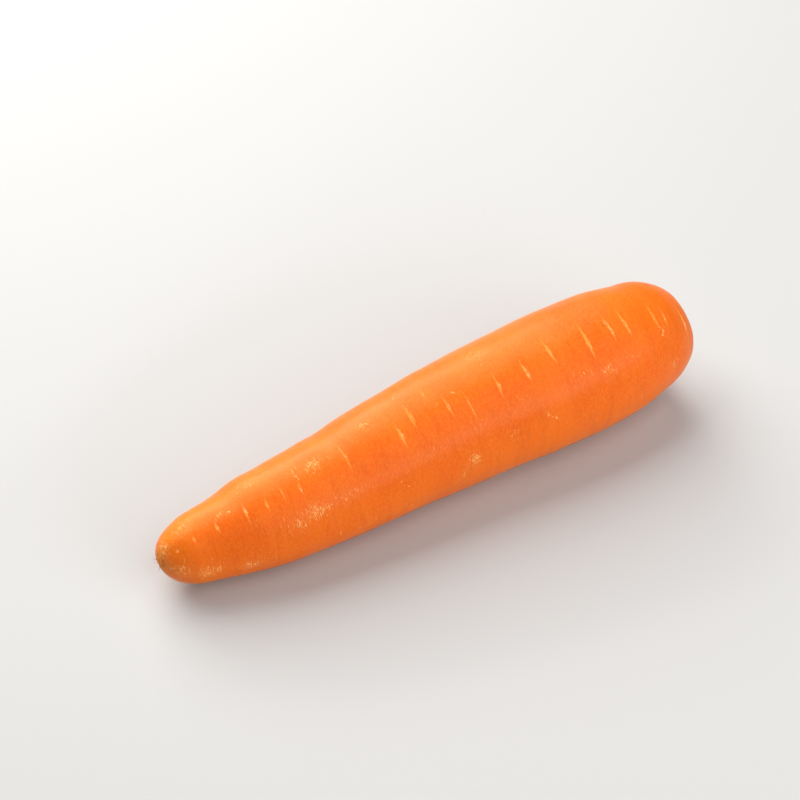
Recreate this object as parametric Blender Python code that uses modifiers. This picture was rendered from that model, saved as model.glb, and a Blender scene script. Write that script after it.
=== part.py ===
"""A washed, topped carrot that lies on its side: one grown piece, tip towards -X and crown towards +X.

The half outline is a smooth curve that is turned into a round body, laid along a slightly bowed
centre line, and pressed flat by a hair where it rests at z = 0.
"""

import bpy

MM = 0.001

# Half outline of the root, from the middle of the crown round to the end of the tip. Each point is
# (radius, distance from the tip), in millimetres.
OUTLINE = [
    (0, 204),
    (6.5, 202),  # the dimple's lowest ring
    (11, 205),  # the rim round the dimple
    (17.5, 199.5),  # the round shoulder
    (21, 188),
    (23.5, 168),  # the thickest place
    (23, 135),
    (21, 97),
    (18, 57),
    (16, 34),  # the end of the long taper
    (13, 19),  # the short neck before the tip
    (11, 9),
    (7, 3),  # the blunt tip
    (0, 0),
]
END_HANDLE = 3.0 * MM
OUTLINE_STEPS = 6
ROUND_STEPS = 48

# Centre line that the root grew along: (distance from the tip, sideways, height), in millimetres.
# From 52 to 165 the height is up to 0.7 less than the radius there, so that the belly lies flat.
CENTRE_LINE = [
    (0, 2.5, 12),
    (25, -0.5, 15),
    (52, -2, 17.4),
    (85, -1, 20),
    (120, 0, 22),
    (165, 0, 23.2),
    (205, 2, 23.2),
]
CENTRE_LINE_STEPS = 16
# How far the bowed root reaches along X, from the end of the tip to the shoulder.
REACH = 204.9 * MM

FLOOR_SIZE = 0.3
FLOOR_DEPTH = 0.02

SKIN_COLOUR = (0.86, 0.19, 0.018, 1.0)
SKIN_ROUGHNESS = 0.42


def clear_scene():
    for old in list(bpy.data.objects):
        bpy.data.objects.remove(old, do_unlink=True)


def new_collection(name):
    collection = bpy.data.collections.new(name)
    bpy.context.scene.collection.children.link(collection)
    return collection


def skin_material():
    material = bpy.data.materials.new("carrot_skin")
    material.use_nodes = True
    shader = material.node_tree.nodes["Principled BSDF"]
    shader.inputs["Base Color"].default_value = SKIN_COLOUR
    shader.inputs["Roughness"].default_value = SKIN_ROUGHNESS
    shader.inputs["Metallic"].default_value = 0.0
    return material


def smooth_curve(name, points, steps):
    """A Bezier curve object that runs smoothly through the points."""
    data = bpy.data.curves.new(name, "CURVE")
    data.dimensions = "3D"
    data.resolution_u = steps
    spline = data.splines.new("BEZIER")
    spline.bezier_points.add(len(points) - 1)
    for knot, place in zip(spline.bezier_points, points):
        knot.co = place
        knot.handle_left_type = "AUTO"
        knot.handle_right_type = "AUTO"
    return bpy.data.objects.new(name, data)


def outline_mesh():
    """The half outline at +X, with both of its ends square to the turning axis."""
    points = [(radius * MM, 0.0, height * MM) for radius, height in OUTLINE]
    curve = smooth_curve("outline", points, OUTLINE_STEPS)
    knots = curve.data.splines[0].bezier_points
    for knot, side in ((knots[0], "handle_right"), (knots[-1], "handle_left")):
        knot.handle_left_type = "FREE"
        knot.handle_right_type = "FREE"
        setattr(knot, side, (END_HANDLE, 0.0, knot.co.z))
    mesh = bpy.data.meshes.new_from_object(curve)
    bpy.data.objects.remove(curve)
    return mesh


def centre_line(guides):
    """The bowed line that the turned body is laid along."""
    points = [(along * MM - REACH / 2, side * MM, height * MM) for along, side, height in CENTRE_LINE]
    spine = smooth_curve("centre_line", points, CENTRE_LINE_STEPS)
    spine.hide_render = True
    spine.display_type = "WIRE"
    guides.objects.link(spine)
    return spine


def floor_cutter(guides):
    """A slab below z = 0, which takes off the sliver that the root's own weight presses flat."""
    bpy.ops.mesh.primitive_cube_add(size=1.0, location=(0.0, 0.0, -FLOOR_DEPTH / 2))
    cutter = bpy.context.object
    cutter.name = "floor_cutter"
    cutter.scale = (FLOOR_SIZE, FLOOR_SIZE, FLOOR_DEPTH)
    bpy.ops.object.transform_apply(location=False, rotation=False, scale=True)
    cutter.hide_render = True
    cutter.display_type = "WIRE"
    for owner in list(cutter.users_collection):
        owner.objects.unlink(cutter)
    guides.objects.link(cutter)
    return cutter


def carrot_root(parts, guides):
    """The whole root: turned from its outline, bowed along its centre line, and rested."""
    mesh = outline_mesh()
    mesh.name = "carrot_root"
    mesh.materials.append(skin_material())
    root = bpy.data.objects.new("carrot_root", mesh)
    parts.objects.link(root)

    turn = root.modifiers.new("turn", "SCREW")
    turn.axis = "Z"
    turn.steps = ROUND_STEPS
    turn.render_steps = ROUND_STEPS
    turn.use_merge_vertices = True
    turn.merge_threshold = 0.00001
    turn.use_smooth_shade = True

    bow = root.modifiers.new("bow", "CURVE")
    bow.object = centre_line(guides)
    bow.deform_axis = "POS_Z"

    rest = root.modifiers.new("rest", "BOOLEAN")
    rest.operation = "DIFFERENCE"
    rest.solver = "EXACT"
    rest.object = floor_cutter(guides)
    return root


clear_scene()
carrot_root(new_collection("carrot"), new_collection("guides"))
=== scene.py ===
import math

import bpy
import bmesh
import numpy as np
from mathutils import Matrix, Vector, noise
from mathutils.bvhtree import BVHTree


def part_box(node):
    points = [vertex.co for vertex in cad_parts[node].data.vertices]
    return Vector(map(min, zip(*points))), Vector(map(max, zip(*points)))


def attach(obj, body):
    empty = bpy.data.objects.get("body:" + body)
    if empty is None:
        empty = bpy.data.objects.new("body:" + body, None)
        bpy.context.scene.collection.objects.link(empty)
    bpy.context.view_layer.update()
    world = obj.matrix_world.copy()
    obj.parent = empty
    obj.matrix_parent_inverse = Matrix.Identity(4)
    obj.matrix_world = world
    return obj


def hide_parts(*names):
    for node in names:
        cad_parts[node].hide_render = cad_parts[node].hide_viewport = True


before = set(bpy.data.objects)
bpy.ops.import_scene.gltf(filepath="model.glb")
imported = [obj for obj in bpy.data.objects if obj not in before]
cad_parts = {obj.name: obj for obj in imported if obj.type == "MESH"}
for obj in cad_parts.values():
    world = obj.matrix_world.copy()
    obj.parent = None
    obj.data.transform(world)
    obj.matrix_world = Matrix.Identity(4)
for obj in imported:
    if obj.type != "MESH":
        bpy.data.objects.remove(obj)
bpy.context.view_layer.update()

# A washed, topped carrot lying on its side: tip towards -X, crown towards +X.
# "along" is millimetres from the end of the tip. "round" is degrees about the root's own
# centre line, 0 on top and 90 on the side that faces -Y.
mm = 0.001
rootNode = "carrot_root"


def linearColour(hexColour):
    # sRGB hex to the linear RGBA that shaders work in
    channels = [int(hexColour[i:i + 2], 16) / 255 for i in (1, 3, 5)]
    return [c / 12.92 if c <= 0.04045 else ((c + 0.055) / 1.055) ** 2.4 for c in channels] + [1.0]


def addNode(tree, kind, settings=None, links=None):
    # one node: settings are socket values or node properties, links feed its sockets
    node = tree.nodes.new(kind)
    for name, value in (settings or {}).items():
        if isinstance(name, int) or name in node.inputs:
            node.inputs[name].default_value = value
        else:
            setattr(node, name, value)
    for name, source in (links or {}).items():
        tree.links.new(source, node.inputs[name])
    return node


def smoothStep(low, high, x):
    t = np.clip((x - low) / (high - low), 0.0, 1.0)
    return t * t * (3 - 2 * t)


def floatAttribute(mesh, name, values):
    layer = mesh.attributes.new(name, "FLOAT", "POINT")
    layer.data.foreach_set("value", np.asarray(values, np.float32).ravel())


def meshTree(mesh):
    # for casting rays at a mesh
    return BVHTree.FromPolygons([v.co for v in mesh.vertices], [p.vertices for p in mesh.polygons])


# the skin's grid of points, cast onto the solid root from inside
skinGrid = {
    "rowStep": 0.30,      # mm between rows of points, finer than the narrowest slit
    "columns": 128,       # points round each row
    "tipReach": 11.0,     # mm inside the tip, where the rays start to fan out
    "crownReach": 12.5,   # the same inside the crown
    "tipFan": 1.7,        # rows over the fanned end, as a share of its reach in row steps
    "crownFan": 2.6,      # the same over the crown
    "blend": (20, 12),    # rows before and after the crown's first, where the two blurs meet
    "waves": 4,           # waves round the root that are kept; the rest is facets
    "bodyBlur": 5.5,      # rows that the body is smoothed over
    "crownBlur": 1.7,     # the same over the crown, whose dimple is sharper
}


def sectionCentre(tree, place):
    # moves a point inside the root to the middle of its cross-section
    for side in (Vector((0, 1, 0)), Vector((0, 0, 1))) * 2:
        ahead = tree.ray_cast(place, side)[3]
        behind = tree.ray_cast(place, -side)[3]
        place = place + side * ((ahead - behind) / 2)
    return place


def centreLine(tree, low, high, xs):
    # marches from the middle of the root towards both of its ends
    middle = len(xs) // 2
    centres = [None] * len(xs)
    for run in (range(middle, len(xs)), range(middle - 1, -1, -1)):
        place = (low + high) / 2
        for i in run:
            place = sectionCentre(tree, Vector((xs[i], place.y, place.z)))
            centres[i] = place
    return centres


def blurRows(field, rows):
    # smooths along the root; past a pole the field goes on down the far side
    reach = int(3 * rows) + 1
    weights = np.exp(-0.5 * (np.arange(-reach, reach + 1) / rows) ** 2)
    weights /= weights.sum()
    half = field.shape[1] // 2
    before = np.roll(field[1:reach + 1][::-1], half, axis=1)
    after = np.roll(field[-reach - 1:-1][::-1], half, axis=1)
    padded = np.concatenate([before, field, after])
    return sum(w * padded[k:k + len(field)] for k, w in enumerate(weights))


def roundOff(field, waves):
    # keeps only the slow waves round the root, so that the solid's flat facets go
    spectrum = np.fft.rfft(field, axis=1)
    spectrum[:, waves + 1:] = 0
    return np.fft.irfft(spectrum, field.shape[1], axis=1)


def castSkin(node, plan):
    mesh = node.data
    tree = meshTree(mesh)
    low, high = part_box(rootNode)
    tipX = low.x + plan["tipReach"] * mm
    crownX = high.x - plan["crownReach"] * mm
    bodyRows = int((crownX - tipX) / (plan["rowStep"] * mm))
    xs = list(np.linspace(tipX, crownX, bodyRows))
    centres = centreLine(tree, low, high, xs)
    tipRows = int(plan["tipFan"] * plan["tipReach"] / plan["rowStep"])
    crownRows = int(plan["crownFan"] * plan["crownReach"] / plan["rowStep"])
    lean = [-90 + 90 * k / tipRows for k in range(tipRows)]
    lean += [0.0] * bodyRows
    lean += [90 * (k + 1) / crownRows for k in range(crownRows)]
    origins = [centres[0]] * tipRows + centres + [centres[-1]] * crownRows
    lean = np.radians(np.array(lean))[:, None]
    turn = np.radians(np.arange(plan["columns"]) * 360 / plan["columns"] - 180)[None, :]
    away = np.cos(lean)
    rays = np.stack([np.sin(lean) + 0 * turn, -away * np.sin(turn), away * np.cos(turn)], -1)
    reach = np.array([[tree.ray_cast(o, Vector(r))[3] for r in row] for o, row in zip(origins, rays)])
    reach[0] = reach[0].mean()
    reach[-1] = reach[-1].mean()
    reach = roundOff(reach, plan["waves"])
    calm = blurRows(reach, plan["bodyBlur"])
    sharp = blurRows(reach, plan["crownBlur"])
    crownRow = tipRows + bodyRows
    before, after = plan["blend"]
    atCrown = smoothStep(crownRow - before, crownRow + after, np.arange(len(reach)))[:, None]
    reach = calm * (1 - atCrown) + sharp * atCrown
    return {
        "origins": np.array([list(o) for o in origins])[:, None, :],
        "rays": rays,
        "reach": reach,
        "round": np.degrees(turn) + 0 * reach,
        "tipX": low.x,
    }


def skinPoints(grid, lift=0.0):
    return grid["origins"] + grid["rays"] * (grid["reach"] + lift)[..., None]


# lenticels along the row that shows on the upper side: (along, round, length in mm, strength)
upperSlits = [
    (5, 29, 2, 1.2), (11, 25, 3, 1.4), (19, 23, 5, 1.2), (29, 20, 8, 1.1), (36, 24, 6, 0.9),
    (42, 19, 8, 0.8), (48, 24, 6, 0.8), (66, 13, 15, 1.0), (86, 25, 11, 1.1), (92, 13, 12, 1.1),
    (100, -3, 8, 0.7), (105, 21, 10, 0.9), (112, 31, 12, 0.9), (124, 25, 11, 1.1), (135, 24, 11, 1.0),
    (146, 15, 14, 1.2), (160, 21, 17, 1.1), (170, 19, 13, 1.0), (176, 21, 13, 1.1), (188, 25, 12, 0.9),
    (192, 29, 10, 0.9), (200, 40, 14, 1.0),
]
# the shorter, fainter row low on the same side
lowerSlits = [
    (16, 84, 5), (25, 93, 4), (34, 94, 5), (39, 48, 3), (57, 95, 5), (64, 101, 3), (70, 96, 4),
    (84, 104, 3), (93, 105, 4), (101, 101, 4), (104, 94, 5), (156, 96, 4), (175, 92, 5), (184, 100, 4),
]
# where the skin has flaked in small dry flecks: (along, round, reach in mm, how many)
fleckPatches = [
    (48, 56, 5, 9), (52, 6, 5, 5), (108, 81, 2, 6), (77, -4, 3, 2), (122, -13, 2, 2), (20, 8, 5, 4),
    (31, -16, 4, 3), (105, 12, 4, 3), (164, 52, 3, 2), (169, 11, 1, 2), (81, 68, 2, 2), (138, 72, 6, 3),
    (191, 46, 4, 2),
]
fleckShape = {
    "length": (1.2, 2.6),   # mm
    "turn": (-20, 65),      # degrees from across the root
    "stray": 2.7,           # degrees that a fleck strays round the root
    "seed": 23,
}
# clusters of fine scuffs, and long narrow ones near round 50 that are painted glints along the lower
# highlight band: (along, round, reach along in mm, reach round in mm, strength)
scuffsAndGlints = [
    (50, 56, 8, 3.5, 1.25), (43, 62, 6, 3, 1.0), (61, 54, 10, 2.5, 0.85), (55, 9, 5, 3, 1.2),
    (49, 2, 2.5, 2.5, 0.8), (60, 8, 3, 2.5, 0.7), (77, -3, 4, 3, 1.0), (108, 81, 3, 5, 1.2),
    (105, 90, 3, 3, 0.8), (124, -13, 5, 3.5, 1.0), (153, 47, 5, 2.5, 0.8), (163, 52, 4, 2.5, 0.9),
    (124, 73, 3.5, 4, 0.7), (33, -10, 7, 3, 0.8), (22, 6, 5, 3, 0.8), (12, 88, 5, 4, 1.1),
    (5, 80, 4, 4, 1.1), (26, 96, 5, 3, 1.2), (9, -4, 4, 4, 1.0), (92, -14, 5, 3, 0.7),
    (130, 47, 8, 2.5, 0.5), (192, 80, 4, 3, 0.8), (2, 0, 3, 5, 1.2), (90, 56, 14, 2.5, 0.5),
    (112, 50, 12, 2.5, 0.55), (170, 50, 12, 2.5, 0.5), (30, 40, 4, 3, 0.6), (196, 62, 4, 3, 0.6),
]
hiddenRows = {
    "rounds": (197, 283),   # side roots grow in four rows; these two face away
    "spread": 12.0,         # degrees that a slit strays from its row
    "first": 9.0,           # mm from the tip
    "last": 200.0,
    "gap": (4.0, 17.0),     # mm between slits
    "least": 2.0,           # mm, the shortest slit
    "more": 18.0,           # mm that a slit can be longer than that
    "atTip": 0.35,          # share of that extra length that the tip allows
    "extra": (0.12, 0.62),  # share of it that a slit takes
    "seed": 11,
}


def hiddenSlits(plan):
    dice = np.random.default_rng(plan["seed"])
    found = []
    for middle in plan["rounds"]:
        along = plan["first"]
        while along < plan["last"]:
            around = middle + dice.normal() * plan["spread"]
            room = plan["more"] * min(1.0, plan["atTip"] + along / plan["last"])
            length = plan["least"] + room * dice.uniform(*plan["extra"])
            found.append((along, (around + 180) % 360 - 180, length))
            along += dice.uniform(*plan["gap"])
    return found


slitShape = {
    "halfWidth": 0.38,    # mm, at the widest place
    "groove": 0.07,       # mm deep
    "lip": 0.05,          # mm proud on both sides
    "trough": 0.13,       # mm, the wide soft hollow that a slit sits in
    "troughReach": 2.4,   # mm
    "fullLength": 11.0,   # mm, from which a slit has its full width
    "margin": 7.0,        # mm past a slit's ends that it still shapes
    "depths": (0.6, 1.2),  # shares of the usual value, drawn for each slit
    "widths": (0.8, 1.2),
    "pales": (0.75, 1.1),
    "dries": (0.3, 1.2),
    "cracks": (0.0, 0.5, 1.0),
    "curve": 0.4,         # mm that a slit bends at most
    "slant": 0.04,        # and how far it leans, as a share of its length
    "far": 6.0,           # where the slits' own coordinates stop counting
    "near": (1.3, 0.75),  # how near a slit its colour fades out and is whole
    "apart": (0.0, 0.35),  # the same for the line midway between two slits
    "seed": 5,
}


def markFields(grid, marks, shape):
    # for each point: where it lies across and along its nearest slit, how pale and how dry that
    # slit is, how near it is, and how the slits lift the skin
    along, around, radius = grid["along"], grid["round"], grid["radius"]
    dice = np.random.default_rng(shape["seed"])
    fields = {name: np.zeros(along.shape) for name in ("lift", "pale", "dry", "crack")}
    limit = shape["far"]
    fields["across"] = np.full(along.shape, limit)
    fields["lengthwise"] = np.full(along.shape, limit)
    nearest = np.full(along.shape, 1.5 * limit)
    second = np.full(along.shape, 1.5 * limit)
    for mark in marks:
        depth = dice.uniform(*shape["depths"])
        width = dice.uniform(*shape["widths"])
        curve = dice.uniform(-shape["curve"], shape["curve"])
        slant = dice.uniform(-shape["slant"], shape["slant"])
        pale = mark["pale"] * dice.uniform(*shape["pales"])
        dry = mark["dry"] * dice.uniform(*shape["dries"])
        crack = mark["crack"] * dice.choice(shape["cracks"])
        half = mark["length"] / 2
        rows = np.where(np.abs(along[:, 0] - mark["along"]) < half + shape["margin"])[0]
        if len(rows) == 0:
            continue
        part = slice(rows[0], rows[-1] + 1)
        x = along[part] - mark["along"]
        y = np.radians((around[part] - mark["round"] + 180) % 360 - 180) * radius[part]
        turn = math.radians(mark["turn"])
        a = x * math.cos(turn) - y * math.sin(turn)
        b = x * math.sin(turn) + y * math.cos(turn)
        t = b / half
        a = a - curve * (t * t - 0.3) - slant * b
        taper = np.clip(1 - t * t, 0, 1)
        grown = min(1.0, mark["length"] / shape["fullLength"])
        groove = shape["halfWidth"] * mark["size"] * width * (0.6 + 0.4 * grown)
        relief = mark["relief"]
        lift = -shape["groove"] * relief * depth * np.exp(-(a / groove) ** 2) * taper
        lift += shape["lip"] * relief * np.exp(-((np.abs(a) - 2.0 * groove) / groove) ** 2) * taper
        lift -= shape["trough"] * relief * np.exp(-(a / shape["troughReach"]) ** 2 - (t / 1.15) ** 2)
        fields["lift"][part] += lift
        far = np.hypot(a / 1.6, np.maximum(np.abs(t) - 0.75, 0) * half / 1.6)
        closer = far < nearest[part]
        second[part] = np.where(closer, nearest[part], np.minimum(second[part], far))
        nearest[part] = np.where(closer, far, nearest[part])
        values = {"across": a / groove, "lengthwise": t, "pale": pale, "dry": dry, "crack": crack}
        for name, value in values.items():
            fields[name][part] = np.where(closer, value, fields[name][part])
    fields["near"] = smoothStep(*shape["near"], nearest) * smoothStep(*shape["apart"], second - nearest)
    fields["across"] = np.clip(fields["across"], -limit, limit)
    fields["lengthwise"] = np.clip(fields["lengthwise"], -limit, limit)
    return fields


def scatterFlecks(patches, plan):
    dice = np.random.default_rng(plan["seed"])
    found = []
    for along, around, reach, count in patches:
        for _ in range(count):
            shift = dice.uniform(-reach, reach)
            turned = dice.normal() * plan["stray"]
            length = dice.uniform(*plan["length"])
            turn = dice.uniform(*plan["turn"])
            found.append((along + shift, around + turned, length, turn))
    return found


def allMarks():
    # size is a share of the usual width; pale, dry and crack say how a mark is coloured
    kinds = {
        "upper": {"turn": 0, "size": 1.0, "relief": 1.0, "pale": 0.95, "dry": 0.75, "crack": 0.6},
        "lower": {"turn": 0, "size": 0.7, "relief": 0.6, "pale": 0.6, "dry": 0.3, "crack": 0.0},
        "hidden": {"turn": 0, "size": 0.75, "relief": 0.8, "pale": 0.75, "dry": 0.6, "crack": 0.3},
        "fleck": {"size": 0.8, "relief": 0.1, "pale": 1.0, "dry": 3.0, "crack": 0.0},
    }
    marks = []
    for along, around, length, strength in upperSlits:
        mark = {"along": along, "round": around, "length": length, **kinds["upper"]}
        mark["size"] *= strength
        mark["pale"] *= strength
        marks.append(mark)
    for kind, found in (("lower", lowerSlits), ("hidden", hiddenSlits(hiddenRows))):
        for along, around, length in found:
            marks.append({"along": along, "round": around, "length": length, **kinds[kind]})
    for along, around, length, turn in scatterFlecks(fleckPatches, fleckShape):
        marks.append({"along": along, "round": around, "length": length, "turn": turn, **kinds["fleck"]})
    return marks


growth = {
    "swell": 0.30,        # mm, slow lumps about 28 mm across
    "swellSize": 28.0,
    "knob": 0.10,         # mm, smaller unevenness about 7 mm across
    "knobSize": 7.0,
    "ripple": 0.045,      # mm, faint rings that run round the root
    "rippleSize": 2.6,
    "rippleLength": 14.0,
    "seed": (3.7, 8.1, 5.3),
}
# swells and hollows: (along, round, reach along in mm, reach round in degrees, height in mm)
swells = [
    # along the upper edge, from the tip
    (1, -40, 4, 70, 0.45), (8, -40, 5, 40, -0.2), (25, -30, 5, 34, -0.85), (33, -30, 4, 34, 0.3),
    (42, -30, 4, 30, -0.2), (65, -28, 5, 34, -0.8), (84, -30, 8, 30, 0.25), (101, -30, 9, 30, 0.4),
    (124, -30, 8, 30, -0.25), (138, -30, 11, 30, -0.5), (162, -30, 4, 30, -0.25), (174, -30, 4, 30, 0.15),
    (185, -30, 8, 30, -0.3), (191, -30, 4, 30, 0.3),
    # along the lower edge of the same side
    (1, 106, 4, 60, 0.35), (5, 106, 5, 44, -0.4), (23, 106, 6, 34, 0.4), (29, 106, 4, 34, -0.3),
    (78, 106, 8, 28, 0.15), (95, 106, 8, 28, -0.5), (107, 106, 8, 28, -0.4), (140, 106, 7, 26, 0.4),
    (154, 106, 7, 26, -0.5), (171, 106, 5, 26, -0.2), (195, 108, 7, 30, -0.4),
    # on the flank between them, and out of sight
    (48, 20, 9, 26, 0.2), (70, 8, 6, 22, 0.25), (58, 62, 10, 24, -0.2), (110, 150, 14, 40, 0.35),
    (150, 210, 16, 40, -0.35), (60, 230, 14, 46, 0.3), (90, 290, 12, 40, -0.3), (180, 180, 12, 50, 0.3),
]


def swellLift(grid):
    lift = np.zeros(grid["reach"].shape)
    for along, around, reach, spread, height in swells:
        turned = (grid["round"] - around + 180) % 360 - 180
        lift += height * np.exp(-((grid["along"] - along) / reach) ** 2 - (turned / spread) ** 2)
    return lift


def growthLift(grid, plan):
    # slow lumps, small unevenness and faint cross rings, from noise that follows the surface
    places = skinPoints(grid) / mm
    seed = Vector(plan["seed"])
    slowScale, knobScale = 1 / plan["swellSize"], 1 / plan["knobSize"]
    ringScale = Vector((1 / plan["rippleSize"], 1 / plan["rippleLength"], 1 / plan["rippleLength"]))
    lift = np.zeros(grid["reach"].shape)
    for i, row in enumerate(places):
        for j, p in enumerate(row):
            spot = Vector(p)
            slow = noise.noise(spot * slowScale + seed)
            knob = noise.noise(spot * knobScale - seed)
            ring = noise.noise(spot * ringScale + seed)
            lift[i, j] = plan["swell"] * slow + plan["knob"] * knob + plan["ripple"] * ring
    return lift


def skinMesh(points):
    # one point at each pole, rings of quads between, and an even map of the whole skin
    rows, columns = points.shape[:2]
    vertices = [tuple(points[0].mean(0))]
    vertices += [tuple(p) for p in points[1:-1].reshape(-1, 3)]
    vertices.append(tuple(points[-1].mean(0)))
    ring = rows - 2
    last = len(vertices) - 1
    faces, spots = [], []
    for j in range(columns):
        k = (j + 1) % columns
        faces.append((0, 1 + k, 1 + j))
        spots += [(j + 0.5, 0), (j + 1, 1), (j, 1)]
        faces.append((last, 1 + (ring - 1) * columns + j, 1 + (ring - 1) * columns + k))
        spots += [(j + 0.5, rows - 1), (j, rows - 2), (j + 1, rows - 2)]
    for i in range(ring - 1):
        for j in range(columns):
            k = (j + 1) % columns
            a, b = 1 + i * columns, 1 + (i + 1) * columns
            faces.append((a + j, a + k, b + k, b + j))
            spots += [(j, i + 1), (j + 1, i + 1), (j + 1, i + 2), (j, i + 2)]
    mesh = bpy.data.meshes.new("carrotSkin")
    mesh.from_pydata(vertices, [], faces)
    mesh.shade_smooth()
    layer = mesh.uv_layers.new(name="OFBake")
    even = np.array(spots, float) / (columns, rows - 1)
    layer.data.foreach_set("uv", even.astype(np.float32).ravel())
    return mesh


# painted highlight: the upper side of the thin end is painted more golden, where the broad highlight of the
# lamps behind falls
paintedHighlightBand = {
    "round": -14.0,
    "spread": 24.0,             # degrees
    "fade": (168.0, 128.0),     # mm from the tip, gone and whole
    "full": (70.0, 25.0),       # mm from the tip, half and whole
}


# what each point of the skin tells its material
skinFields = ("across", "lengthwise", "near", "pale", "dry", "crack", "scuffAndGlint", "paintedHighlight", "along", "offAxis")


def pointValues(field):
    # a grid field in the mesh's order of points
    return np.concatenate([[field[0].mean()], field[1:-1].ravel(), [field[-1].mean()]])


def buildSkin():
    grid = castSkin(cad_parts[rootNode], skinGrid)
    print("skin: cast", grid["reach"].shape)
    places = skinPoints(grid)
    grid["along"] = (places[..., 0] - grid["tipX"]) / mm
    axis = grid["origins"]
    grid["radius"] = np.hypot(places[..., 1] - axis[..., 1], places[..., 2] - axis[..., 2]) / mm
    fields = markFields(grid, allMarks(), slitShape)
    lift = fields["lift"] + growthLift(grid, growth) + swellLift(grid)
    print("skin: marks and growth")
    # scuffs, and painted glints along the lower highlight band near round 50
    scuffAndGlint = np.zeros(grid["reach"].shape)
    for along, around, reach, spread, strength in scuffsAndGlints:
        turned = (grid["round"] - around + 180) % 360 - 180
        away = np.hypot((grid["along"] - along) / reach, np.radians(turned) * grid["radius"] / spread)
        scuffAndGlint = np.maximum(scuffAndGlint, strength * np.exp(-away ** 2))
    # painted highlight: a golden band along the upper side, fading out towards the crown
    turned = (grid["round"] - paintedHighlightBand["round"] + 180) % 360 - 180
    paintedHighlight = np.exp(-(turned / paintedHighlightBand["spread"]) ** 2) * smoothStep(*paintedHighlightBand["fade"], grid["along"])
    paintedHighlight *= 0.5 + 0.5 * smoothStep(*paintedHighlightBand["full"], grid["along"])
    places = skinPoints(grid, lift * mm)
    places[..., 2] = np.maximum(places[..., 2], 0.0)      # its weight presses it flat on the surface
    mesh = skinMesh(places)
    fields.update({"scuffAndGlint": scuffAndGlint, "paintedHighlight": paintedHighlight, "along": grid["along"], "offAxis": grid["radius"]})
    for name in skinFields:
        floatAttribute(mesh, name, pointValues(fields[name]))
    skin = bpy.data.objects.new("carrot_skin", mesh)
    bpy.context.scene.collection.objects.link(skin)
    return skin


waxySkin = {
    "deepOrange": "#E9680C",
    "warmOrange": "#EE7314",
    "paleGrain": "#F58B34",
    "ringShade": "#DA5B0C",
    "tipYellow": "#F3912A",
    "highlightGold": "#F59A28",
    "shoulderShadeBrown": "#C8641A",
    "slitOrange": "#FF9E42",
    "slitDry": "#FFDCAE",
    "slitCrack": "#A84A14",
    # pale flecks of dry skin, also used for the painted glints along the lower highlight band
    "fleck": "#FFCE86",
    "scarTan": "#EE9640",
    "scarBrown": "#B04412",
    "crownOlive": "#A8702A",
    "roughness": 0.37,
    "ior": 1.38,
    "gloss": 0.24,
    "patchSize": 22.0,            # mm
    # how many to a millimetre: along the root, and twice round it
    "grain": (1.7, 0.85, 0.85),
    "rings": (0.42, 0.06, 0.06),
    "flecks": (2.4, 0.7, 0.7),
    "ribs": (1.5, 0.16, 0.16),
    "raggedSize": 1.1,            # mm, how finely a slit's edge wavers
    "pitSize": 0.8,               # mm
    "tipFade": 24.0,              # mm from the tip
    "tipShare": 0.3,
    "highlightShare": 0.45,
    "shoulder": (178.0, 203.0),   # mm from the tip, where the painted shade begins and is full
    "shoulderShare": 0.55,
    "crown": (190.0, 197.0),      # the same for the olive
    "crownShare": 0.75,
    "scarShare": 0.70,
    "fleshDepth": 3.0,            # mm that light goes into the flesh
    "fleshShare": 0.6,
}


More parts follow.
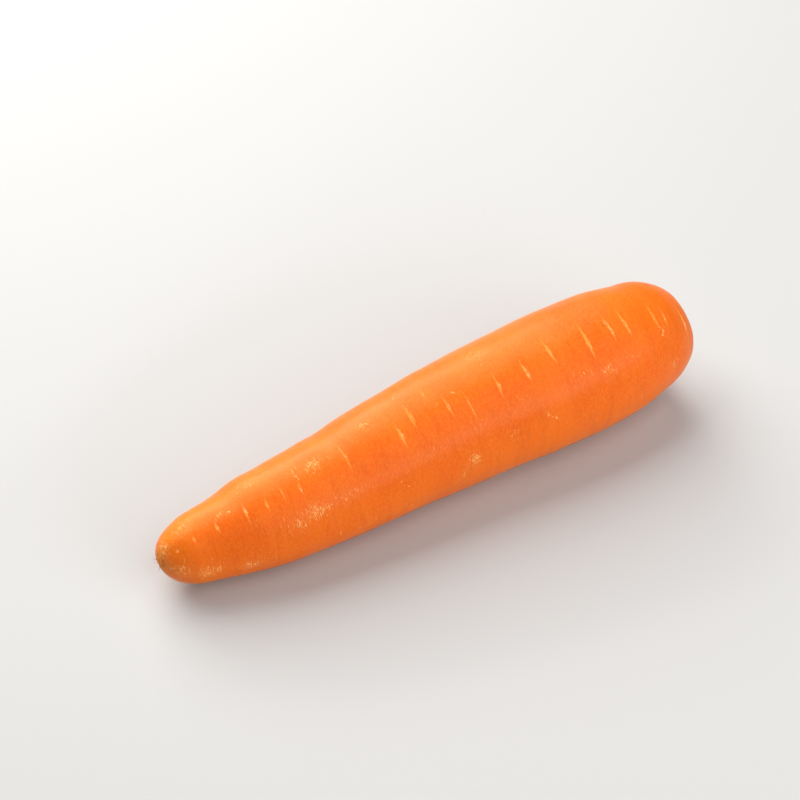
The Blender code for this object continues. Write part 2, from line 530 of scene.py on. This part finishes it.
def carrotSkin(look):
    # Carrot skin, washed and moist: a thin waxy film over dense orange flesh. It gives broad soft
    # highlights, and a little light that goes in and comes out redder.
    material = bpy.data.materials.new("waxyCarrotSkin")
    material.use_nodes = True
    tree = material.node_tree
    tree.nodes.clear()

    def node(kind, settings=None, links=None):
        return addNode(tree, kind, settings, links)

    def colour(name):
        return linearColour(look[name])

    place = node("ShaderNodeTexCoord").outputs["Object"]
    inMm = node("ShaderNodeVectorMath", {"operation": "SCALE", "Scale": 1 / mm}, {0: place}).outputs[0]
    # all of these run round the root, so they are finer along it than round it
    stretched = {}
    for name in ("grain", "rings", "flecks", "ribs"):
        scaled = node("ShaderNodeVectorMath", {"operation": "MULTIPLY", 1: look[name]}, {0: inMm})
        stretched[name] = scaled.outputs[0]
    part = {name: node("ShaderNodeAttribute", {"attribute_name": name}).outputs["Fac"]
            for name in skinFields}

    # flesh colour: slow patches 22 mm wide, rings 2.4 mm apart, and a grain under a millimetre
    patches = node("ShaderNodeTexNoise", {"Scale": 1 / look["patchSize"], "Detail": 3.0, "Roughness": 0.5},
                   {"Vector": inMm})
    patchShare = node("ShaderNodeMapRange", {"From Min": 0.35, "From Max": 0.65},
                      {"Value": patches.outputs["Fac"]})
    flesh = node("ShaderNodeMix", {"data_type": "RGBA", 6: colour("deepOrange"), 7: colour("warmOrange")},
                 {0: patchShare.outputs[0]})
    rings = node("ShaderNodeTexNoise", {"Scale": 1.0, "Detail": 3.0, "Roughness": 0.55},
                 {"Vector": stretched["rings"]})
    ringShare = node("ShaderNodeMapRange", {"From Min": 0.48, "From Max": 0.72, "To Max": 0.45},
                     {"Value": rings.outputs["Fac"]})
    shaded = node("ShaderNodeMix", {"data_type": "RGBA", 7: colour("ringShade")},
                  {0: ringShare.outputs[0], 6: flesh.outputs[2]})
    grain = node("ShaderNodeTexNoise", {"Scale": 1.0, "Detail": 3.0, "Roughness": 0.65},
                 {"Vector": stretched["grain"]})
    grainShare = node("ShaderNodeMapRange", {"From Min": 0.42, "From Max": 0.75, "To Max": 0.60},
                      {"Value": grain.outputs["Fac"]})
    grained = node("ShaderNodeMix", {"data_type": "RGBA", 7: colour("paleGrain")},
                   {0: grainShare.outputs[0], 6: shaded.outputs[2]})

    # the tip is paler and yellower
    tipShare = node("ShaderNodeMapRange", {
        "interpolation_type": "SMOOTHSTEP", "From Min": look["tipFade"], "From Max": 0.0,
        "To Max": look["tipShare"],
    }, {"Value": part["along"]})
    tipped = node("ShaderNodeMix", {"data_type": "RGBA", 7: colour("tipYellow")},
                  {0: tipShare.outputs[0], 6: grained.outputs[2]})

    # painted highlight: golden along the upper side of the thin end, where the lamps' broad highlight lies
    highlightShare = node("ShaderNodeMath", {"operation": "MULTIPLY", 1: look["highlightShare"]},
                     {0: part["paintedHighlight"]})
    highlighted = node("ShaderNodeMix", {"data_type": "RGBA", 7: colour("highlightGold")},
                  {0: highlightShare.outputs[0], 6: tipped.outputs[2]})

    # painted shade: the shoulder is painted browner and darker towards the crown, in patches
    shoulderShare = node("ShaderNodeMapRange", {
        "interpolation_type": "SMOOTHSTEP", "To Max": look["shoulderShare"],
        "From Min": look["shoulder"][0], "From Max": look["shoulder"][1],
    }, {"Value": part["along"]})
    shoulderPatch = node("ShaderNodeMapRange", {"From Min": 0.35, "From Max": 0.6, "To Min": 0.35},
                         {"Value": patches.outputs["Fac"]})
    shoulderHere = node("ShaderNodeMath", {"operation": "MULTIPLY"},
                        {0: shoulderShare.outputs[0], 1: shoulderPatch.outputs[0]})
    shoulderShaded = node("ShaderNodeMix", {"data_type": "RGBA", 7: colour("shoulderShadeBrown")},
                     {0: shoulderHere.outputs[0], 6: highlighted.outputs[2]})

    # lenticels: spindles with a full body just past the middle and long thin tails
    ragged = node("ShaderNodeTexNoise", {"Scale": 1 / look["raggedSize"], "Detail": 3.0, "Roughness": 0.6},
                  {"Vector": inMm})
    wobble = node("ShaderNodeMath", {"operation": "MULTIPLY_ADD", 1: 3.0, 2: -1.5},
                  {0: ragged.outputs["Fac"]})
    bent = node("ShaderNodeMath", {"operation": "ADD"}, {0: part["across"], 1: wobble.outputs[0]})
    off = node("ShaderNodeMath", {"operation": "ABSOLUTE"}, {0: bent.outputs[0]})
    middle = node("ShaderNodeMath", {"operation": "MULTIPLY_ADD", 1: 2.2, 2: -0.35},
                  {0: part["lengthwise"]})
    squared = node("ShaderNodeMath", {"operation": "MULTIPLY"},
                   {0: middle.outputs[0], 1: middle.outputs[0]})
    fallen = node("ShaderNodeMath", {"operation": "MULTIPLY", 1: -1.0}, {0: squared.outputs[0]})
    body = node("ShaderNodeMath", {"operation": "EXPONENT"}, {0: fallen.outputs[0]})
    ends = node("ShaderNodeMath", {"operation": "MULTIPLY"},
                {0: part["lengthwise"], 1: part["lengthwise"]})
    tail = node("ShaderNodeMath", {"operation": "SUBTRACT", 0: 1.0, "use_clamp": True},
                {1: ends.outputs[0]})
    width = node("ShaderNodeMath", {"operation": "MULTIPLY_ADD", 1: 0.55},
                 {0: tail.outputs[0], 2: body.outputs[0]})
    gap = node("ShaderNodeMath", {"operation": "SUBTRACT"}, {0: width.outputs[0], 1: off.outputs[0]})
    slit = node("ShaderNodeMapRange", {
        "interpolation_type": "SMOOTHSTEP", "From Min": -0.35, "From Max": 0.55,
    }, {"Value": gap.outputs[0]})
    slitHere = node("ShaderNodeMath", {"operation": "MULTIPLY"}, {0: slit.outputs[0], 1: part["near"]})
    slitPale = node("ShaderNodeMath", {"operation": "MULTIPLY", "use_clamp": True},
                    {0: slitHere.outputs[0], 1: part["pale"]})
    slitShare = node("ShaderNodeMath", {"operation": "MULTIPLY", 1: 0.95}, {0: slitPale.outputs[0]})
    slitted = node("ShaderNodeMix", {"data_type": "RGBA", 7: colour("slitOrange")},
                   {0: slitShare.outputs[0], 6: shoulderShaded.outputs[2]})
    # dry cork inside the slit, and a hairline crack in some
    dryNoise = node("ShaderNodeMapRange", {"From Min": 0.5, "From Max": 0.68},
                    {"Value": grain.outputs["Fac"]})
    dryBody = node("ShaderNodeMath", {"operation": "MULTIPLY"},
                   {0: slitHere.outputs[0], 1: body.outputs[0]})
    dryHere = node("ShaderNodeMath", {"operation": "MULTIPLY"},
                   {0: dryBody.outputs[0], 1: dryNoise.outputs[0]})
    dryShare = node("ShaderNodeMath", {"operation": "MULTIPLY", "use_clamp": True},
                    {0: dryHere.outputs[0], 1: part["dry"]})
    dried = node("ShaderNodeMix", {"data_type": "RGBA", 7: colour("slitDry")},
                 {0: dryShare.outputs[0], 6: slitted.outputs[2]})
    hairline = node("ShaderNodeMapRange", {
        "interpolation_type": "SMOOTHSTEP", "From Min": 0.40, "From Max": 0.10,
    }, {"Value": off.outputs[0]})
    crackBody = node("ShaderNodeMath", {"operation": "MULTIPLY"},
                     {0: hairline.outputs[0], 1: dryBody.outputs[0]})
    crackShare = node("ShaderNodeMath", {"operation": "MULTIPLY", "use_clamp": True},
                      {0: crackBody.outputs[0], 1: part["crack"]})
    cracked = node("ShaderNodeMix", {"data_type": "RGBA", 7: colour("slitCrack")},
                   {0: crackShare.outputs[0], 6: dried.outputs[2]})

    # flecks of dry skin, about 0.4 by 1.4 mm, thick where the skin is scuffed; near round 50 they are
    # painted glints along the lower highlight band
    flecks = node("ShaderNodeTexNoise", {"Scale": 1.0, "Detail": 3.0, "Roughness": 0.65, "Distortion": 0.8},
                  {"Vector": stretched["flecks"]})
    limit = node("ShaderNodeMath", {"operation": "MULTIPLY_ADD", 1: 0.165, 2: -0.68}, {0: part["scuffAndGlint"]})
    above = node("ShaderNodeMath", {"operation": "ADD"}, {0: flecks.outputs["Fac"], 1: limit.outputs[0]})
    fleckAndGlintShare = node("ShaderNodeMapRange", {"From Max": 0.13, "To Max": 0.85},
                      {"Value": above.outputs[0]})
    fleckedAndGlinting = node("ShaderNodeMix", {"data_type": "RGBA", 7: colour("fleck")},
                   {0: fleckAndGlintShare.outputs[0], 6: cracked.outputs[2]})

    # the scar where the thin end of the root broke off: tan cork with brown pits
    scarEdge = node("ShaderNodeMath", {"operation": "MULTIPLY_ADD", 1: 5.0},
                    {0: grain.outputs["Fac"], 2: part["offAxis"]})
    scarShare = node("ShaderNodeMapRange", {
        "interpolation_type": "SMOOTHSTEP", "From Min": 8.4, "From Max": 4.2, "To Max": look["scarShare"],
    }, {"Value": scarEdge.outputs[0]})
    atTip = node("ShaderNodeMapRange", {"From Min": 20.0, "From Max": 10.0}, {"Value": part["along"]})
    scarHere = node("ShaderNodeMath", {"operation": "MULTIPLY"},
                    {0: scarShare.outputs[0], 1: atTip.outputs[0]})
    scarred = node("ShaderNodeMix", {"data_type": "RGBA", 7: colour("scarTan")},
                   {0: scarHere.outputs[0], 6: fleckedAndGlinting.outputs[2]})
    pits = node("ShaderNodeTexNoise", {"Scale": 1 / look["pitSize"], "Detail": 2.0, "Roughness": 0.6},
                {"Vector": inMm})
    pitShare = node("ShaderNodeMapRange", {"From Min": 0.52, "From Max": 0.60},
                    {"Value": pits.outputs["Fac"]})
    pitHere = node("ShaderNodeMath", {"operation": "MULTIPLY"},
                   {0: scarHere.outputs[0], 1: pitShare.outputs[0]})
    pitted = node("ShaderNodeMix", {"data_type": "RGBA", 7: colour("scarBrown")},
                  {0: pitHere.outputs[0], 6: scarred.outputs[2]})

    # the crown: olive brown where the leaves grew, fading over the shoulder
    crownEdge = node("ShaderNodeMath", {"operation": "MULTIPLY_ADD", 1: 7.0},
                     {0: rings.outputs["Fac"], 2: part["offAxis"]})
    crownShare = node("ShaderNodeMapRange", {
        "interpolation_type": "SMOOTHSTEP", "From Min": 17.0, "From Max": 9.0, "To Max": look["crownShare"],
    }, {"Value": crownEdge.outputs[0]})
    atCrown = node("ShaderNodeMapRange", {"From Min": look["crown"][0], "From Max": look["crown"][1]},
                   {"Value": part["along"]})
    crownHere = node("ShaderNodeMath", {"operation": "MULTIPLY"},
                     {0: crownShare.outputs[0], 1: atCrown.outputs[0]})
    whole = node("ShaderNodeMix", {"data_type": "RGBA", 7: colour("crownOlive")},
                 {0: crownHere.outputs[0], 6: pitted.outputs[2]})

    # roughness: smooth wax, dull where it is scuffed, split or corky
    grainRough = node("ShaderNodeMath", {"operation": "MULTIPLY_ADD", 1: 0.20, 2: look["roughness"] - 0.10},
                      {0: grain.outputs["Fac"]})
    dull = node("ShaderNodeMath", {"operation": "MULTIPLY_ADD", 1: 0.2},
                {0: fleckAndGlintShare.outputs[0], 2: grainRough.outputs[0]})
    dullSlit = node("ShaderNodeMath", {"operation": "MULTIPLY_ADD", 1: 0.2},
                    {0: slitShare.outputs[0], 2: dull.outputs[0]})
    dullScar = node("ShaderNodeMath", {"operation": "MULTIPLY_ADD", 1: 0.3},
                    {0: scarHere.outputs[0], 2: dullSlit.outputs[0]})
    rough = node("ShaderNodeMath", {"operation": "MULTIPLY_ADD", 1: 0.25, "use_clamp": True},
                 {0: crownHere.outputs[0], 2: dullScar.outputs[0]})

    # relief too fine for the mesh, in millimetres: ribs that run round, grain, flecks, pits
    ribs = node("ShaderNodeTexNoise", {"Scale": 1.0, "Detail": 2.0, "Roughness": 0.5},
                {"Vector": stretched["ribs"]})
    ribbing = node("ShaderNodeMath", {"operation": "MULTIPLY", 1: 0.075}, {0: ribs.outputs["Fac"]})
    grainy = node("ShaderNodeMath", {"operation": "MULTIPLY_ADD", 1: 0.06},
                  {0: grain.outputs["Fac"], 2: ribbing.outputs[0]})
    fleckUp = node("ShaderNodeMath", {"operation": "MULTIPLY_ADD", 1: 0.03},
                   {0: fleckAndGlintShare.outputs[0], 2: grainy.outputs[0]})
    slitDown = node("ShaderNodeMath", {"operation": "MULTIPLY_ADD", 1: -0.05},
                    {0: slitHere.outputs[0], 2: fleckUp.outputs[0]})
    crackDown = node("ShaderNodeMath", {"operation": "MULTIPLY_ADD", 1: -0.06},
                     {0: crackShare.outputs[0], 2: slitDown.outputs[0]})
    pitDown = node("ShaderNodeMath", {"operation": "MULTIPLY_ADD", 1: -0.15},
                   {0: pitHere.outputs[0], 2: crackDown.outputs[0]})
    bump = node("ShaderNodeBump", {"Strength": 1.0, "Distance": mm}, {"Height": pitDown.outputs[0]})

    shader = node("ShaderNodeBsdfPrincipled", {
        "IOR": look["ior"], "Metallic": 0.0, "Specular IOR Level": look["gloss"],
        "Subsurface Weight": look["fleshShare"], "Subsurface Radius": (1.0, 0.3, 0.1),
        "Subsurface Scale": look["fleshDepth"] * mm,
    }, {"Base Color": whole.outputs[2], "Roughness": rough.outputs[0], "Normal": bump.outputs[0]})
    node("ShaderNodeOutputMaterial", None, {"Surface": shader.outputs[0]})
    return material


crownStubs = {
    # rings of cut leaf stalks: (how far out in mm, how many, share of the ring that each spans)
    "rings": ((1.6, 2, 0.78), (3.9, 4, 0.88), (6.4, 6, 0.86)),
    "thick": 1.8,             # mm, at the middle of a stalk
    "tall": (0.6, 2.4),       # mm above the crown
    "sunk": 1.6,              # mm that a stalk goes down into the crown
    "lean": 0.20,             # how far a stalk leans out as it rises
    "blunt": 0.55,            # how full a stalk's two corners are; less is fuller
    "sweeps": (0.85, 1.08),   # shares of the usual value, drawn for each stalk
    "thicks": (0.6, 1.15),
    "stray": 0.1,             # radians that a stalk strays round its ring
    "slope": 0.25,            # how far the cut slopes
    "ragged": 0.16,           # mm, how uneven the cut is
    "wobble": 0.10,           # mm, how uneven the sides are
    "dish": 0.22,             # mm that the middle of the cut dries in
    "steps": 22,              # points along each side of a stalk
    "levels": 7,              # rings of points from its foot to its cut
    "faceDepth": 4.0,         # mm of the root's end that count as the crown
    "above": 20.0,            # mm outside the crown, where the search for the ground starts
    "seed": 23,
}


def crownCentre(depth):
    # the middle of the points that make the root's end
    low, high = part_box(rootNode)
    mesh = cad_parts[rootNode].data
    rim = [v.co for v in mesh.vertices if v.co.x > high.x - depth * mm]
    middle = sum(rim, Vector()) / len(rim)
    return Vector((high.x, middle.y, middle.z))


def stalkOutline(plan, stalk):
    # a crescent seen from above: the outer side one way, the inner side back
    points = []
    for side in (1, -1):
        for k in range(plan["steps"]):
            share = k / (plan["steps"] - 1)
            share = share if side == 1 else 1 - share
            angle = stalk["start"] + stalk["sweep"] * share
            half = stalk["thick"] / 2 * math.sin(math.pi * min(max(share, 0.02), 0.98)) ** plan["blunt"]
            points.append((angle, stalk["radius"] + side * half))
    return points


def stalkLevels(shape, plan, stalk, centre, ground):
    # rings of points, from the foot in the crown up to the cut
    outline = stalkOutline(plan, stalk)
    middle = stalk["start"] + stalk["sweep"] / 2
    levels = []
    for k in range(plan["levels"]):
        rise = -plan["sunk"] + (stalk["tall"] + plan["sunk"]) * k / (plan["levels"] - 1)
        ring = []
        for angle, out in outline:
            lift = rise
            if rise > 0:
                lift += stalk["slope"] * (angle - middle) * stalk["radius"]
            if k == plan["levels"] - 1:
                lift += plan["ragged"] * noise.noise(Vector((angle * 3, out, rise + stalk["number"])))
            wobble = plan["wobble"] * noise.noise(Vector((angle * 4, rise * 0.8, stalk["radius"])))
            outward = (out + plan["lean"] * max(rise, 0) + wobble) * mm
            y = centre.y + math.cos(angle) * outward
            z = centre.z + math.sin(angle) * outward
            ring.append(shape.verts.new((ground + lift * mm, y, z)))
        levels.append(ring)
    return levels


def closeStalk(shape, plan, levels):
    # the stalk's sides, its dished cut and its foot; returns the faces of the cut
    steps = plan["steps"]
    top = levels[-1]
    spine = []
    for k in range(1, steps - 1):
        between = (top[k].co + top[2 * steps - 1 - k].co) / 2
        spine.append(shape.verts.new(between - Vector((plan["dish"] * mm, 0, 0))))
    for low, up in zip(levels, levels[1:]):
        for k in range(2 * steps):
            m = (k + 1) % (2 * steps)
            shape.faces.new((low[k], low[m], up[m], up[k]))
    cut = []
    for edge in (top[:steps], top[steps:][::-1]):
        for k in range(1, steps - 2):
            cut.append(shape.faces.new((edge[k], edge[k + 1], spine[k], spine[k - 1])))
        cut.append(shape.faces.new((edge[0], edge[1], spine[0])))
        cut.append(shape.faces.new((edge[-2], edge[-1], spine[-1])))
    cut.append(shape.faces.new((top[0], spine[0], top[2 * steps - 1])))
    cut.append(shape.faces.new((top[steps - 1], top[steps], spine[-1])))
    shape.faces.new(levels[0])
    return cut


def finishMesh(shape, name):
    # turns the faces outwards, shades them smooth and makes the object
    bmesh.ops.recalc_face_normals(shape, faces=shape.faces)
    for face in shape.faces:
        face.smooth = True
    mesh = bpy.data.meshes.new(name)
    shape.to_mesh(mesh)
    shape.free()
    piece = bpy.data.objects.new(name, mesh)
    bpy.context.scene.collection.objects.link(piece)
    return piece


def buildStubs(plan, skinTree):
    dice = np.random.default_rng(plan["seed"])
    centre = crownCentre(plan["faceDepth"])
    shape = bmesh.new()
    for radius, count, share in plan["rings"]:
        turn = dice.uniform(0, 2 * math.pi)
        for n in range(count):
            stalk = {"radius": radius, "number": n}
            stalk["sweep"] = 2 * math.pi / count * share * dice.uniform(*plan["sweeps"])
            stalk["start"] = turn + 2 * math.pi / count * n + dice.uniform(-plan["stray"], plan["stray"])
            stalk["thick"] = plan["thick"] * dice.uniform(*plan["thicks"])
            stalk["tall"] = dice.uniform(*plan["tall"])
            stalk["slope"] = dice.uniform(-plan["slope"], plan["slope"])
            middle = stalk["start"] + stalk["sweep"] / 2
            spot = Vector((plan["above"], math.cos(middle) * radius, math.sin(middle) * radius)) * mm
            ground = skinTree.ray_cast(centre + spot, Vector((-1, 0, 0)))[0].x
            levels = stalkLevels(shape, plan, stalk, centre, ground)
            for face in closeStalk(shape, plan, levels):
                face.material_index = 1
    return finishMesh(shape, "leaf_stubs")


driedStalk = {
    "outer": "#7C6A2C",
    "outerPale": "#B08A42",
    "cut": "#CFA45A",
    "cutDark": "#A87C3C",
    "roughness": 0.68,
    "uneven": 0.2,        # how far the roughness varies from string to string
    "ior": 1.45,
    "fibre": 0.55,        # mm between the strings in a stalk
    "relief": 0.12,       # mm
}


def stalkMaterial(look, name, low, high, spread):
    # Dried leaf stalk: stringy and matt, olive brown outside and straw where it was cut.
    material = bpy.data.materials.new(name)
    material.use_nodes = True
    tree = material.node_tree
    tree.nodes.clear()
    place = addNode(tree, "ShaderNodeTexCoord").outputs["Object"]
    strings = addNode(tree, "ShaderNodeVectorMath", {"operation": "MULTIPLY", 1: spread}, {0: place})
    fibres = addNode(tree, "ShaderNodeTexNoise", {
        "Scale": 1 / (look["fibre"] * mm), "Detail": 3.0, "Roughness": 0.6,
    }, {"Vector": strings.outputs[0]}).outputs["Fac"]
    share = addNode(tree, "ShaderNodeMapRange", {"From Min": 0.38, "From Max": 0.62}, {"Value": fibres})
    shade = addNode(tree, "ShaderNodeMix", {
        "data_type": "RGBA", 6: linearColour(look[low]), 7: linearColour(look[high]),
    }, {0: share.outputs[0]})
    rough = addNode(tree, "ShaderNodeMath", {
        "operation": "MULTIPLY_ADD", 1: look["uneven"], 2: look["roughness"] - look["uneven"] / 2,
    }, {0: fibres})
    bump = addNode(tree, "ShaderNodeBump", {"Strength": 0.8, "Distance": look["relief"] * mm},
                   {"Height": fibres})
    shader = addNode(tree, "ShaderNodeBsdfPrincipled", {"IOR": look["ior"]}, {
        "Base Color": shade.outputs[2], "Roughness": rough.outputs[0], "Normal": bump.outputs[0],
    })
    addNode(tree, "ShaderNodeOutputMaterial", None, {"Surface": shader.outputs[0]})
    return material


# what is left of the thin end of the root
tipFibres = {
    "count": 9,
    "length": (0.9, 2.2),    # mm
    "thick": 0.11,           # mm, half of the width where a fibre starts
    "taper": 0.8,            # share of that width that is gone at its end
    "spread": 1.5,           # mm out from the end of the root
    "inward": (0.1, 1.0),    # shares of the spread
    "stray": 0.4,            # radians from an even spacing
    "upright": 0.55,         # how far a fibre stands up, and how far it leans out
    "outward": (0.5, 1.0),
    "bend": 0.35,
    "rooted": 0.3,           # mm that it starts inside the skin
    "before": 20.0,          # mm outside the tip, where the search for the skin starts
    "points": 7,
    "sides": 6,
    "seed": 41,
}


def buildFibres(plan, skinTree):
    dice = np.random.default_rng(plan["seed"])
    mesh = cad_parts[rootNode].data
    end = min((v.co for v in mesh.vertices), key=lambda co: co.x)
    sides = plan["sides"]
    corners = [2 * math.pi * i / sides for i in range(sides)]
    steps = plan["points"] - 1
    shape = bmesh.new()
    for n in range(plan["count"]):
        angle = 2 * math.pi * n / plan["count"] + dice.uniform(-plan["stray"], plan["stray"])
        out = plan["spread"] * dice.uniform(*plan["inward"])
        start = end + Vector((-plan["before"], math.cos(angle) * out, math.sin(angle) * out)) * mm
        root, normal = skinTree.ray_cast(start, Vector((1, 0, 0)))[:2]
        sideways = Vector((-0.15, math.cos(angle), math.sin(angle))) * dice.uniform(*plan["outward"])
        heading = (normal * plan["upright"] + sideways).normalized()
        length = dice.uniform(*plan["length"]) * mm
        bend = Vector(dice.normal(size=3)) * plan["bend"]
        rings = []
        place = root - normal * plan["rooted"] * mm
        for k in range(plan["points"]):
            across = heading.orthogonal().normalized()
            other = heading.cross(across)
            half = plan["thick"] * mm * (1 - plan["taper"] * k / steps)
            ring = [place + (across * math.cos(q) + other * math.sin(q)) * half for q in corners]
            rings.append([shape.verts.new(spot) for spot in ring])
            place = place + heading * length / steps
            heading = (heading + bend / plan["points"]).normalized()
        for a, b in zip(rings, rings[1:]):
            for k in range(sides):
                m = (k + 1) % sides
                shape.faces.new((a[k], a[m], b[m], b[k]))
        shape.faces.new(rings[0][::-1])
        shape.faces.new(rings[-1])
    return finishMesh(shape, "tip_fibres")


paleBoard = {
    "colour": "#BEC4CC",
    "roughness": 0.7,
    "reach": 4.0,    # m
    "below": 0.1,    # mm that it lies under the root
}


def paleFloor():
    mesh = bpy.data.meshes.new("floor")
    shape = bmesh.new()
    bmesh.ops.create_grid(shape, x_segments=1, y_segments=1, size=paleBoard["reach"])
    shape.to_mesh(mesh)
    shape.free()
    floor = bpy.data.objects.new("floor", mesh)
    floor.location.z = -paleBoard["below"] * mm
    bpy.context.scene.collection.objects.link(floor)
    # a pale matt board: even, with a soft shadow and no shine
    material = bpy.data.materials.new("paleBoard")
    material.use_nodes = True
    shader = material.node_tree.nodes["Principled BSDF"]
    shader.inputs["Base Color"].default_value = linearColour(paleBoard["colour"])
    shader.inputs["Roughness"].default_value = paleBoard["roughness"]
    mesh.materials.append(material)


studio = {
    "aim": (0.0, 0.0, 0.02),   # m, what every lamp points at
    "world": ("#FFFFFF", 0.07),
    "lampColour": "#FFF6EA",
    # each lamp: (place in m, size in m, watts)
    "topBox": ((-0.05, 0.75, 0.95), (1.5, 1.2), 22.3),
    "backBox": ((0.02, 0.82, 0.42), (0.62, 0.20), 3.2),
    "frontBox": ((0.22, -0.66, 0.80), (1.6, 1.2), 9.0),
    "lowStrip": ((0.34, -0.86, 0.36), (0.9, 0.10), 3.6),
}


def softBox(name, place, size, watts):
    data = bpy.data.lights.new(name, "AREA")
    data.shape = "RECTANGLE"
    data.size, data.size_y = size
    data.energy = watts
    data.color = linearColour(studio["lampColour"])[:3]
    lamp = bpy.data.objects.new(name, data)
    lamp.location = place
    lamp.rotation_euler = (Vector(studio["aim"]) - Vector(place)).to_track_quat("-Z", "Y").to_euler()
    lamp.visible_camera = False
    bpy.context.scene.collection.objects.link(lamp)


def lightStudio():
    world = bpy.data.worlds.new("studio")
    bpy.context.scene.world = world
    world.use_nodes = True
    colour, strength = studio["world"]
    background = world.node_tree.nodes["Background"]
    background.inputs["Color"].default_value = linearColour(colour)
    background.inputs["Strength"].default_value = strength
    for name in ("topBox", "backBox", "frontBox", "lowStrip"):
        softBox(name, *studio[name])
    bpy.context.scene.view_settings.view_transform = "Standard"


view = {
    "turn": -30.7,        # degrees from looking along +Y
    "rise": 45.0,         # degrees above the floor
    "distance": 0.9,
    "aside": (-9.6, 26.8),   # mm right and up of the origin
    "lens": 117.0,
    "sensor": 36.0,
}


def placeCamera():
    turn, rise = math.radians(view["turn"]), math.radians(view["rise"])
    back = Vector((math.sin(turn) * math.cos(rise), -math.cos(turn) * math.cos(rise), math.sin(rise)))
    right = Vector((math.cos(turn), math.sin(turn), 0))
    up = back.cross(right)
    data = bpy.data.cameras.new("camera")
    data.lens = view["lens"]
    data.sensor_width = view["sensor"]
    camera = bpy.data.objects.new("camera", data)
    camera.matrix_world = Matrix((right, up, back)).transposed().to_4x4()
    camera.location = back * view["distance"] + right * view["aside"][0] * mm + up * view["aside"][1] * mm
    bpy.context.scene.collection.objects.link(camera)
    bpy.context.scene.camera = camera


placeCamera()
paleFloor()
lightStudio()
print("stage ready")

skin = buildSkin()
skin.data.materials.append(carrotSkin(waxySkin))
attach(skin, "root")
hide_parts(rootNode)
print("skin ready:", len(skin.data.polygons), "faces")

skinTree = meshTree(skin.data)
stubs = buildStubs(crownStubs, skinTree)
outside = stalkMaterial(driedStalk, "driedStalkOutside", "outer", "outerPale", (0.15, 1, 1))
cut = stalkMaterial(driedStalk, "driedStalkCut", "cutDark", "cut", (1, 1, 1))
for material in (outside, cut):
    stubs.data.materials.append(material)
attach(stubs, "root")

fibres = buildFibres(tipFibres, skinTree)
fibres.data.materials.append(stalkMaterial(driedStalk, "driedRootFibre", "outerPale", "cut", (1, 1, 1)))
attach(fibres, "root")
print("crown and tip ready")
